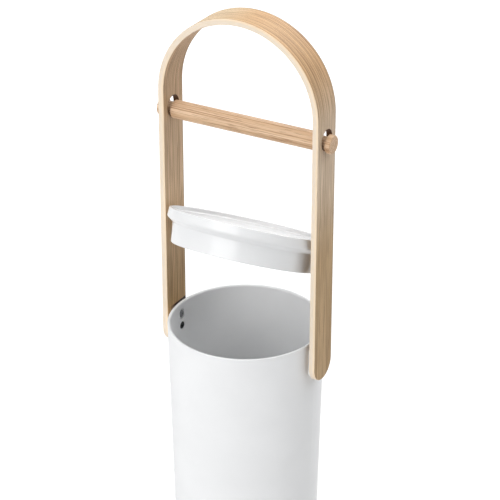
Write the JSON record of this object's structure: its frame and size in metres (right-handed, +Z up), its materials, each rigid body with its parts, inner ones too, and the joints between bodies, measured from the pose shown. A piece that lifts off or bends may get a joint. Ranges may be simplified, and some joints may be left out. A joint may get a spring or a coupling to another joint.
{
  "type": "toilet paper stand",
  "caption": "Free-standing toilet paper stand: round canister for spare rolls with a lift-off lid, and a bent wood bow that holds a loose dowel for the roll in use.",
  "frame": {"origin": "on the floor at the bottom of the feet, on the canister's axis", "axes": "+Z up; the bow and its dowel run along X; the front of the stand faces -Y"},
  "size_m": [0.187, 0.1556, 0.646],
  "materials": {
    "canister_plastic": "white, fine matte moulded texture",
    "lid_plastic": "white, glossy moulded",
    "bow_plywood": "bent plywood with ash veneer, clear matte lacquer, pale sawn edges",
    "dowel_wood": "turned hardwood, clear matte lacquer",
    "screw_steel": "plain steel",
    "screw_black": "blackened steel",
    "insert_brass": "turned, knurled",
    "ballast_iron": "as cast",
    "cover_plastic": "white, matte moulded",
    "foot_rubber": "grey, matte"
  },
  "bodies": {
    "stand": {"canister": "canister_plastic", "handle": "bow_plywood", "left_upper_leg_screw": "screw_steel", "left_lower_leg_screw": "screw_black", "right_upper_leg_screw": "screw_steel", "right_lower_leg_screw": "screw_black", "left_upper_leg_insert": "insert_brass", "left_lower_leg_insert": "insert_brass", "right_upper_leg_insert": "insert_brass", "right_lower_leg_insert": "insert_brass", "ballast_disc": "ballast_iron", "base_cover": "cover_plastic", "right_back_base_screw": "screw_steel", "left_back_base_screw": "screw_steel", "left_front_base_screw": "screw_steel", "right_front_base_screw": "screw_steel", "right_foot": "foot_rubber", "back_foot": "foot_rubber", "left_foot": "foot_rubber", "front_foot": "foot_rubber"},
    "dowel": {"dowel": "dowel_wood"},
    "lid": {"lid": "lid_plastic"}
  },
  "joints": [
    {"name": "dowel_spin", "type": "hinge", "parent": "stand", "child": "dowel", "pos_m": [0, 0, 0.536], "axis": [1, 0, 0], "continuous": true},
    {"name": "lid_lift", "type": "hinge", "parent": "stand", "child": "lid", "pos_m": [0, 0.20735, 0.36882], "axis": [-1, 0, 0], "range_deg": [-25.4, 4.6]}
  ]
}
